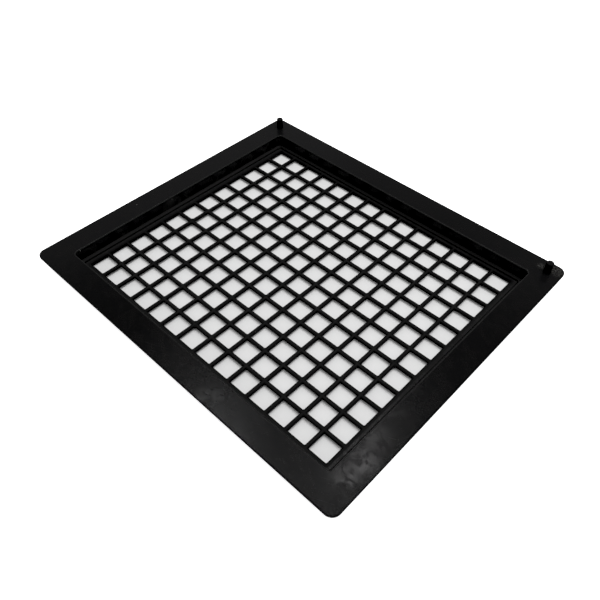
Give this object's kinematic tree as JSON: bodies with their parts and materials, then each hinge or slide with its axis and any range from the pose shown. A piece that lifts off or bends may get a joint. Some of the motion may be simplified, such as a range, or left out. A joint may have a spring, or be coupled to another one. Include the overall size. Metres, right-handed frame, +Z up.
{
  "type": "queen excluder",
  "caption": "Rectangular moulded hive excluder tray: flat flange around a shallow well, drop-in square-mesh lattice panel in a seat at the well's foot, and locating pegs at the back corners.",
  "frame": {"origin": "middle of the outline, on the underside of the well's foot, which is what the part stands on", "axes": "+X along the long side, +Y from the front to the side with the pegs, +Z up out of the well"},
  "size_m": [0.44, 0.384, 0.0342],
  "materials": {
    "frame_plastic": "satin black injection moulding with a faint grain, handling smears and a slight sheen",
    "lattice_plastic": "satin black injection moulding, flat bar tops with smooth sides",
    "peg_plastic": "smooth satin black plastic"
  },
  "bodies": {
    "frame": {"flange_frame": "frame_plastic", "peg_back_left": "peg_plastic", "peg_back_right": "peg_plastic"},
    "lattice": {"lattice_panel": "lattice_plastic"}
  },
  "joints": [
    {"name": "lattice_lift", "type": "slide", "parent": "frame", "child": "lattice", "axis": [0, 0, 1], "range_m": [0, 0.04]}
  ]
}
